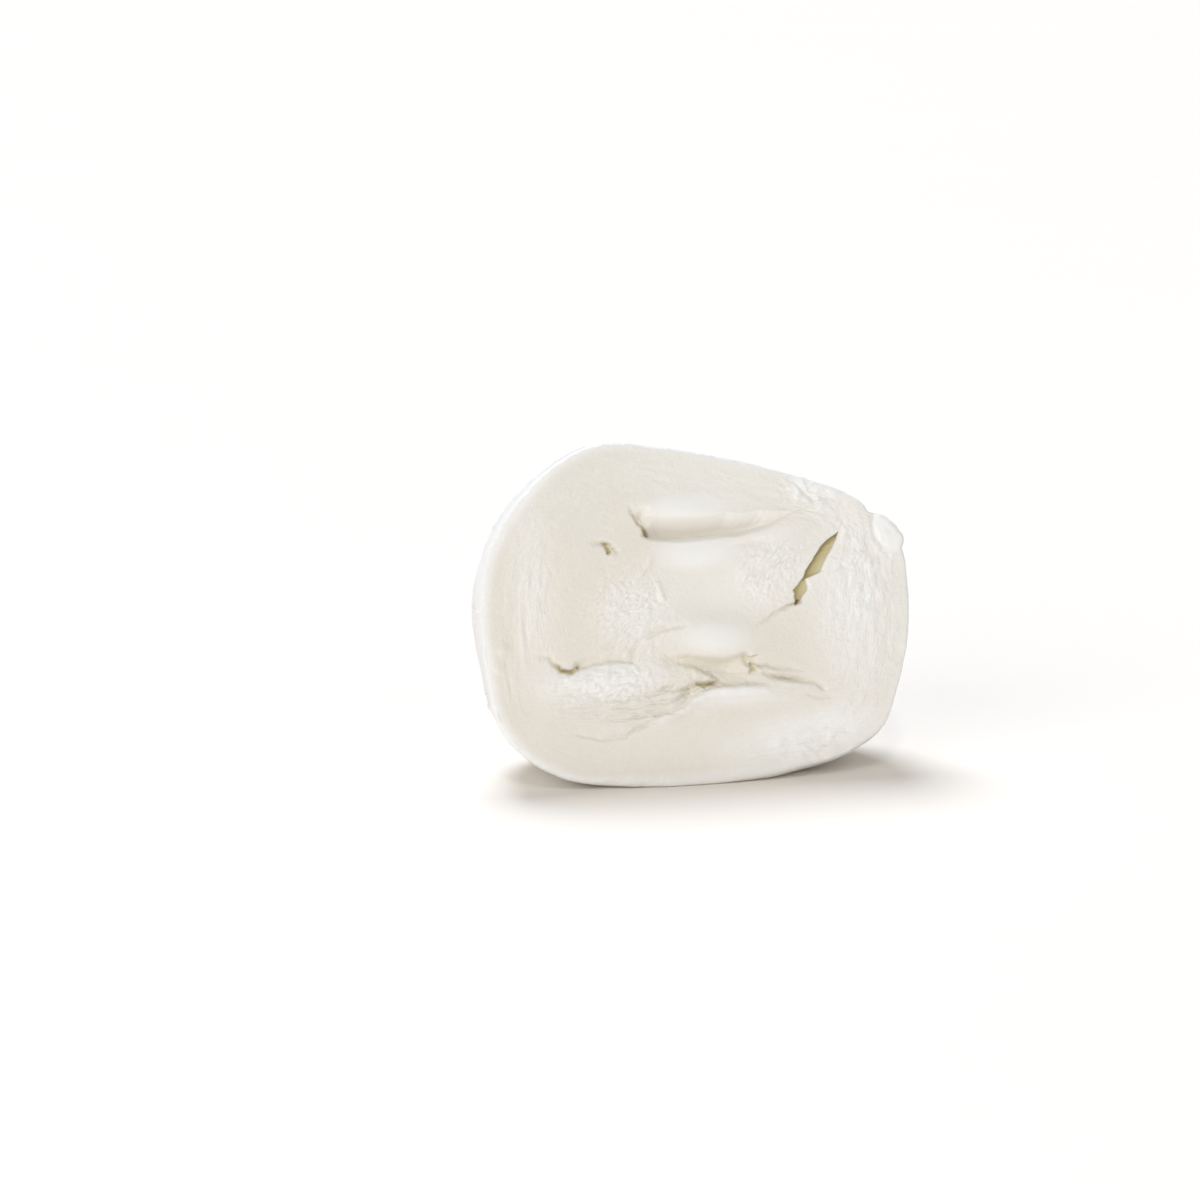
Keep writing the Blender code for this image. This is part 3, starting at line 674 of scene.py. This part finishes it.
def skinRelief(points):
    # raised threads where a stretched noise crosses zero, with blisters, dimples and a grain
    u, v, w = points[..., 0], points[..., 1], points[..., 2]
    swaySize, patchSize, blisterSize, dimpleSize, grainSize = (
        pouch[k] for k in ("swaySize", "threadPatch", "blisterSize", "dimpleSize", "grainSize"))
    swayed = pouch["sway"] * noise(u / swaySize, v / swaySize, w / swaySize, 41)
    sizeU, sizeV, sizeW = pouch["threadSize"]
    threads = noise(u / sizeU + swayed, v / sizeV, w / sizeW + swayed, 42)
    thread = np.exp(-((threads / pouch["threadWidth"]) ** 2))
    sizeU, sizeV, sizeW = pouch["crossingSize"]
    crossing = noise(u / sizeU + 5, v / sizeV + swayed, w / sizeW, 45)
    crossing = np.exp(-((crossing / pouch["crossingWidth"]) ** 2))
    thread = np.maximum(thread, pouch["crossingShare"] * crossing)
    shown = softStep(noise(u / patchSize, v / patchSize, w / patchSize, 46), -0.1, 0.5)
    blister = softStep(noise(u / blisterSize, v / blisterSize, w / blisterSize, 43), 0.62, 0.9)
    dimple = softStep(noise(u / dimpleSize, v / dimpleSize, w / dimpleSize, 48), 0.6, 0.9)
    grain = layered(u / grainSize, v / grainSize, w / grainSize, 44, 2)
    raised = pouch["threadHeight"] * thread * shown + pouch["blisterHeight"] * blister
    stumpTurn = math.radians(neck["angle"])
    stumpU, stumpV = neck["stumpAt"] * math.cos(stumpTurn), neck["stumpAt"] * math.sin(stumpTurn)
    fromStump = np.sqrt((u - stumpU) ** 2 + (v - stumpV) ** 2 + w**2)
    rough = pouch["grainHeight"] + neck["roughness"] / (1 + (fromStump / neck["roughReach"]) ** 4)
    return raised - pouch["dimpleDepth"] * dimple + rough * grain, thread * shown


def makePouch():
    angle = np.linspace(0, turn, pouch["rays"], endpoint=False)[None, :]
    edge = pocketEdge(angle)
    fold = between(angle, pocket["fold"])
    cracked = softStep(between(angle, pocket["opened"]), 0, 1)
    foldDrop, foldWidth, foldPower = pocket["foldLip"]
    crackDrop, crackWidth = pocket["crackLip"]
    width = foldWidth * fold * slant(angle) + crackWidth * cracked + pocket["plainWidth"]

    # lip: from the pocket's edge up to the face, round at the crack, a slope under the fold
    share = np.linspace(0, 1, pouch["lipRings"])[:, None]
    lipRadius = edge + width * share
    height, marks = faceSurface(angle, lipRadius)
    rounded = 1 - np.sqrt(1 - (1 - share) ** 2)
    climbed = np.clip((share - pocket["foldBed"]) / (1 - pocket["foldBed"]), 0, 1)
    lipHeight = height - foldDrop * fold * (1 - climbed) ** foldPower - crackDrop * cracked * rounded
    # painted shade on the lip under the fold, most at its lower edge
    marks["deep"] = np.maximum(marks["deep"], pocket["foldShade"] * fold * (1 - share))
    foldCream, less = pocket["foldCream"]
    marks["creamy"] = np.maximum(marks["creamy"], foldCream * fold) * (1 - less * fold * (1 - share))
    lip = stack(angle, lipRadius, lipHeight, marks)

    # inside wall, from the bottom up; at the crack it leans to meet the filling
    down = np.array(pocket["wallDepths"])[::-1, None]
    lean = pocket["outerShare"] * opened(angle) * softStep(down, *pocket["bottom"])
    wallRadius = (edge - lean) * bowl(down / pocket["depth"])
    wallHeight = lipHeight[:1] * (1 - down / pocket["depth"]) - down
    # painted shade on the pocket's wall, darker further down
    wall = stack(angle, wallRadius, wallHeight, {"deep": crackShade(down)})

    # face and rounded edge
    atFoot = bump(angle, *half["footArc"], 3)
    edgeRound = half["edgeRound"] + neck["edgeRound"] * bump(angle, neck["angle"], neck["edgeArc"], 4)
    cutEdge = flankRadius(angle, 0 * angle) - edgeRound - half["footRound"] * atFoot
    edgeRound = edgeRound + half["footRoundDepth"] * atFoot
    share = np.linspace(0, 1, pouch["faceRings"] + 1)[1:, None]
    radius = edge + width + (cutEdge - edge - width) * share
    height, marks = faceSurface(angle, radius)
    cutFace = stack(angle, radius, height, marks)
    rimTurn = np.radians(np.linspace(0, 90, pouch["rimRings"] + 1)[1:, None])
    rimRadius = cutEdge + (flankRadius(angle, edgeRound) - cutEdge) * np.sin(rimTurn)
    rimHeight = height[-1:] * np.cos(rimTurn) - edgeRound * (1 - np.cos(rimTurn))
    rimMarks = last(marks, np.cos(rimTurn))
    rimMarks["skin"] = softStep(rimTurn, 0, 0.6)
    rimMarks["fibred"] = 0 * rimTurn
    # painted shade on the rounded edge at the foot
    rimMarks["deep"] = rimMarks["deep"] + pouch["footShade"] * atFoot * np.sin(rimTurn)
    rim = stack(angle, rimRadius, rimHeight, rimMarks)

    # flank and back
    share = np.linspace(0, 1, pouch["flankRings"] + 1)[1:, None]
    front, back = edgeRound + (half["bulgeAt"] - edgeRound) * share, half["depth"] - half["bulgeAt"]
    steps = np.linspace(0, 1, pouch["domeRings"] + 1)[1:-1, None]
    along = np.sin(steps * math.pi / 2) ** (2 / half["flankPower"])
    behind = np.concatenate((front, half["bulgeAt"] + back * along + 0 * angle))
    fibre, clear = skinFibre(angle, behind)
    clear = clear * softStep(behind, edgeRound, edgeRound + 2)
    # painted shade on the flank near the floor
    footShade = pouch["footShade"] * atFoot * (1 - softStep(behind, 2, 9))
    dome = stack(angle, flankRadius(angle, behind), -behind,
                 {"skin": 1.0, "fibred": clear, "deep": footShade}, fibre)

    points, marks = joined((wall, lip, cutFace, rim, dome))
    raised, thread = skinRelief(points)
    points = points + gridNormals(points) * (raised * marks["skin"])[..., None]
    marks["stringy"] = np.maximum(marks["stringy"], marks["skin"] * thread)
    return toFloor(points), marks


cream = {
    "outline": (
        (-147, 9.6), (-122, 12.4), (-104, 10.9), (-78, 13.4), (-52, 13.6), (-36, 11.0), (-8, 8.6),
        (22, 9.4), (50, 14.4), (72, 12.9), (94, 11.9), (112, 12.8), (128, 14.8), (144, 11.4),
        (168, 8.6), (190, 8.0),
    ),
    "depth": 4.0,
    "rim": 0.5,  # least width of curd round it
    "rays": 480,
    "faceRings": 56,
    "wander": 0.25,
    "roughness": 0.36,
    "bump": 0.0001,
}

curd = {
    "rays": 800,
    "faceRings": 96,
    "edgeRings": 5,
    "ringPower": 1.15,  # closer rings towards the edge
    "bedGap": 0.4,  # how far its bed lies below the cream
    "wallShare": 0.999,  # keeps it just inside the pocket's bottom
    "roughness": 0.38,
    "bump": 0.00018,
}


def fillingHeight(angle, radius):
    # the shared face, less drop (1 - t)^power where t is the distance to the fold in widths
    height, marks = faceSurface(angle, radius)
    drop, width, power = pocket["ledge"]
    t = np.clip((fillingEdge(angle) - radius) / width / slant(angle), 0, 1)
    return height - drop * between(angle, pocket["fold"]) * (1 - t) ** power, marks


def creamEdge(angle):  # its outline and unevenness, held inside the filling's edge
    uneven = cream["wander"] * layered(5 * np.cos(angle), 5 * np.sin(angle), 0.5, 97, 3)
    return np.minimum(closedCurve(cream["outline"], angle) + uneven, fillingEdge(angle) - cream["rim"])


def makeCurd():
    angle = np.linspace(0, turn, curd["rays"], endpoint=False)[None, :]
    bed, edge = creamEdge(angle), fillingEdge(angle)
    cracked = softStep(between(angle, pocket["opened"]), 0, 1)
    bedHeight = -cream["depth"] - curd["bedGap"]
    floor = stack(angle, bed * np.linspace(0.2, 1, 4)[:, None], bedHeight, {"creamy": 0.5})
    rounding = pocket["crackLip"][1] * cracked
    share = 1 - (1 - np.linspace(0, 1, curd["faceRings"])[:, None]) ** curd["ringPower"]
    radius = bed + (edge - rounding - bed) * share
    height, marks = fillingHeight(angle, radius)
    front = stack(angle, radius, height, marks)

    # edge: rounded at the crack, and elsewhere tucked beneath the wall's edge
    rimTurn = np.radians(np.linspace(0, 90, curd["edgeRings"] + 1)[1:, None])
    tuck = pocket["tuck"] * (1 - cracked)
    rimRadius = edge - rounding * (1 - np.sin(rimTurn)) + tuck * np.sin(rimTurn)
    rimHeight = height[-1:] - rounding * (1 - np.cos(rimTurn)) - 0.6 * tuck * (1 - np.cos(rimTurn))
    rim = stack(angle, rimRadius, rimHeight, last(marks) | {"creamy": 0 * rimTurn})
    down = np.array(pocket["wallDepths"])[:, None]
    lean = (1 - pocket["outerShare"]) * opened(angle) * softStep(down, *pocket["bottom"])
    wallRadius = (edge + tuck + lean) * bowl(down / pocket["depth"] * curd["wallShare"])
    wallHeight = rimHeight[-1:] * (1 - down / pocket["depth"]) - down
    # painted shade on the filling's wall, darker further down
    wall = stack(angle, wallRadius, wallHeight, {"deep": crackShade(down)})
    points, marks = joined((floor, front, rim, wall))
    return toFloor(points), marks


def makeCream():
    angle = np.linspace(0, turn, cream["rays"], endpoint=False)[None, :]
    edge = creamEdge(angle)
    share = np.linspace(0.02, 1, cream["faceRings"])[:, None]
    height, marks = fillingHeight(angle, edge * share)
    front = stack(angle, edge * share, height, marks)
    sideShare = np.linspace(0, 1, 5)[1:, None]
    sideHeight = height[-1:] + (-cream["depth"] - height[-1:]) * sideShare
    side = stack(angle, edge - 0.1 * sideShare, sideHeight, {"creamy": 0.6})
    back = stack(angle, edge * 0.5, -cream["depth"], {"creamy": 0.6})
    points, marks = joined((front, side, back))
    return toFloor(points), marks


class Wire:  # a socket that can be used in sums and products
    def __init__(self, shader, socket):
        self.shader, self.socket = shader, socket

    def math(self, operation, first, second):
        return self.shader.node("ShaderNodeMath", {"operation": operation}, {0: first, 1: second})

    def __add__(self, other):
        return self.math("ADD", self, other)

    def __radd__(self, other):
        return self.math("ADD", other, self)

    def __sub__(self, other):
        return self.math("SUBTRACT", self, other)

    def __rsub__(self, other):
        return self.math("SUBTRACT", other, self)

    def __mul__(self, other):
        return self.math("MULTIPLY", self, other)

    def __rmul__(self, other):
        return self.math("MULTIPLY", other, self)

    def clamped(self):
        return self.shader.node("ShaderNodeClamp", {}, {"Value": self})


class Shader:  # one material's nodes
    def __init__(self, name):
        self.material = bpy.data.materials.new(name)
        self.material.use_nodes = True
        self.tree = self.material.node_tree
        self.principled = self.tree.nodes["Principled BSDF"]

    def put(self, socket, value):
        if isinstance(value, Wire):
            self.tree.links.new(value.socket, socket)
        elif isinstance(value, tuple) and len(value) == 3 and socket.type == "RGBA":
            socket.default_value = (*value, 1)
        else:
            socket.default_value = value

    def node(self, kind, settings, inputs, output=0):
        made = self.tree.nodes.new(kind)
        for setting, value in settings.items():
            setattr(made, setting, value)
        for socket, value in inputs.items():
            self.put(made.inputs[socket], value)
        return Wire(self, made.outputs[output])

    def mark(self, name, output="Fac"):
        return self.node("ShaderNodeAttribute", {"attribute_name": name}, {}, output)

    def mix(self, share, first, second):
        return self.node("ShaderNodeMix", {"data_type": "RGBA"}, {0: share, 6: first, 7: second}, 2)

    def grain(self, place, scale, detail=2.0, rough=0.5):
        return self.node("ShaderNodeTexNoise", {}, {"Vector": place, "Scale": scale, "Detail": detail,
                                                    "Roughness": rough})

    def stretched(self, place, degrees, size, detail=3.0):
        # noise in cells of the given size, their length turned by degrees
        mapping = {"Vector": place, "Rotation": (0, 0, math.radians(degrees)), "Scale": size}
        turnedPlace = self.node("ShaderNodeMapping", {"vector_type": "TEXTURE"}, mapping)
        return self.grain(turnedPlace, 1.0, detail, 0.6)

    def finish(self, **sockets):
        for socket, value in sockets.items():
            self.put(self.principled.inputs[socket.replace("_", " ")], value)
        return self.material


finishes = {
    "paste": (0.800, 0.750, 0.664),
    "cool": (0.805, 0.782, 0.705),  # where the paste is less pink
    # lighter paste, also used for painted highlights
    "paleAndHighlight": (0.925, 0.913, 0.880),
    "cream": (0.915, 0.905, 0.880),
    "skin": (0.880, 0.872, 0.850),
    "back": (0.815, 0.797, 0.755),  # the skin further behind the cut, darker as painted shade on the strongly lit top and back
    # painted shade: the warm dark of hollows, creases, the crack and the foot
    "deep": (0.64, 0.56, 0.305),
    "backShadeShare": (-0.08, 0.15),  # share of the painted shade, for each millimetre of height, and less this
    "fibreDiagonal": (41, (2.6, 0.45, 0.45)),  # direction, and size of the cells
    "fibreFlat": (3, (4.0, 0.4, 0.4)),
    "cloudScale": 0.13,
    "fineScale": 1.3,
}


def cheese(name, roughness, bumpHeight):
    # paste colour, then fibres, cream and skin over it by their marks, the skin darker behind the cut
    # as painted shade, and painted warm shade in the openings, creases, crack and at the foot
    shader = Shader(name)
    place = shader.mark("cut", "Vector")
    fibre = shader.mark("fibre", "Vector")
    deep, creamy, stringy, skin = (shader.mark(m) for m in ("deep", "creamy", "stringy", "skin"))
    cloud = shader.grain(place, finishes["cloudScale"], 3.0)
    fine = shader.grain(place, finishes["fineScale"], 4.0, 0.6)
    lines = shader.mark("diagonal") * (shader.stretched(place, *finishes["fibreDiagonal"]) - 0.5)
    lines = lines + shader.mark("flat") * (shader.stretched(place, *finishes["fibreFlat"]) - 0.5)
    lines = lines + shader.mark("fibred") * (shader.grain(fibre, 1.0, 3.0, 0.6) - 0.5)
    cool = shader.mark("cool") + (cloud - 0.5) * 1.2
    colour = shader.mix(cool.clamped(), finishes["paste"], finishes["cool"])
    # lighter paste, fibres, and painted highlights
    light = shader.mark("paleAndHighlight") * (0.7 + cloud * 0.6) + stringy * 0.3 + lines * 1.3
    colour = shader.mix(light.clamped(), colour, finishes["paleAndHighlight"])
    colour = shader.mix(creamy, colour, finishes["cream"])
    rise, start = finishes["backShadeShare"]
    outOfCut = shader.node("ShaderNodeSeparateXYZ", {}, {"Vector": place}, 2)
    # painted shade: the skin darker further behind the cut
    skinWithBackShade = shader.mix((outOfCut * rise - start).clamped(), finishes["skin"], finishes["back"])
    colour = shader.mix((skin * (0.85 + cloud * 0.3)).clamped(), colour, skinWithBackShade)
    # painted warm shade in hollows, creases, the crack and at the foot
    colour = shader.mix(deep.clamped(), colour, finishes["deep"])
    wet = (roughness - stringy * 0.2 - lines * 0.5 + (fine - 0.5) * 0.4).clamped()
    relief = lines * 1.4 + fine * (0.9 + stringy * 0.9 - creamy * 0.8)
    bumped = {"Strength": 1.0, "Distance": bumpHeight, "Height": relief}
    normal = shader.node("ShaderNodeBump", {}, bumped)
    return shader.finish(Base_Color=colour, Roughness=wet, Normal=normal, IOR=1.4)


def putIn(name, made, node, material, settings, shift):
    points, marks = made
    piece = solidOfRings(name, points, marks, shift)
    piece.data.materials.append(cheese(material, settings["roughness"], settings["bump"]))
    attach(piece, "root")
    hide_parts(node)


# the pouch's box is centred on the solids' box, and all pieces move with it
pouchMade = makePouch()
low = pouchMade[0].reshape(-1, 3).min(axis=0)
high = pouchMade[0].reshape(-1, 3).max(axis=0)
cadMiddle = (np.array(cadBox[0]) + np.array(cadBox[1])) / 2
shift = np.array((cadMiddle[0] - (low[0] + high[0]) / 2, cadMiddle[1] - (low[1] + high[1]) / 2, 0))
putIn("burrataPouch", pouchMade, "pouch", "paste", pouch, shift)
putIn("burrataCurd", makeCurd(), "curd", "curds", curd, shift)
putIn("burrataCream", makeCream(), "cream", "smoothCream", cream, shift)

# the camera stands in front of the cut, a little to its left and above, as seen from its middle
camera = {
    "place": (-161.75, -665.49, 146.12),
    "azimuth": -12,
    "elevation": 12,
    "lens": 105.79,
    "sensor": 36,
    "farthest": 500,
}


def makeCamera():
    data = bpy.data.cameras.new("camera")
    data.lens = camera["lens"]
    data.sensor_width = camera["sensor"]
    data.clip_end = camera["farthest"]
    made = bpy.data.objects.new("camera", data)
    middle = np.array((0, 0, half["cutHeight"])) + camera["place"]
    made.location = middle * mm + shift
    made.rotation_euler = (math.radians(90 - camera["elevation"]), 0, math.radians(camera["azimuth"]))
    bpy.context.scene.collection.objects.link(made)
    bpy.context.scene.camera = made


studio = {
    "floorColour": (0.92, 0.868, 0.80),
    "floorShade": 0.985,  # of its colour in the darker clouds
    "floorRoughness": 0.7,
    "floorSize": 400,
    "sky": 0.32,
    "suns": (  # where from, energy, angle and colour
        ((-0.10, 0.55, 1.0), 2.44, 28, (0.87, 0.925, 1.03)),
        ((-0.90, -0.75, 0.40), 1.14, 50, (1, 1, 1)),
        ((0.60, -1.0, 0.40), 0.35, 60, (1, 1, 1)),
        ((-0.20, -0.75, 0.90), 0.33, 5, (1, 1, 1)),
    ),
}


def makeStudio():
    size = studio["floorSize"] / 2
    mesh = bpy.data.meshes.new("floor")
    corners = [(-size, -size, 0), (size, -size, 0), (size, size, 0), (-size, size, 0)]
    mesh.from_pydata(corners, [], [(0, 1, 2, 3)])
    floor = bpy.data.objects.new("floor", mesh)
    bpy.context.scene.collection.objects.link(floor)
    shader = Shader("floor")
    place = shader.node("ShaderNodeTexCoord", {}, {}, "Object")
    darker = tuple(studio["floorShade"] * c for c in studio["floorColour"])
    shade = shader.mix(shader.grain(place, 3), studio["floorColour"], darker)
    floor.data.materials.append(shader.finish(Base_Color=shade, Roughness=studio["floorRoughness"]))
    world = bpy.data.worlds.new("sky")
    world.use_nodes = True
    background = world.node_tree.nodes["Background"]
    background.inputs["Color"].default_value = (1, 1, 1, 1)
    background.inputs["Strength"].default_value = studio["sky"]
    bpy.context.scene.world = world
    for (x, y, z), energy, angle, colour in studio["suns"]:
        light = bpy.data.lights.new("sun", "SUN")
        light.energy = energy
        light.color = colour
        light.angle = math.radians(angle)
        lamp = bpy.data.objects.new("sun", light)
        lamp.location = (x, y, z)
        lamp.rotation_euler = (math.atan2(math.hypot(x, y), z), 0, math.atan2(x, -y))
        bpy.context.scene.collection.objects.link(lamp)
    bpy.context.scene.view_settings.view_transform = "Standard"


makeCamera()
makeStudio()
print("camera, floor and light in place")
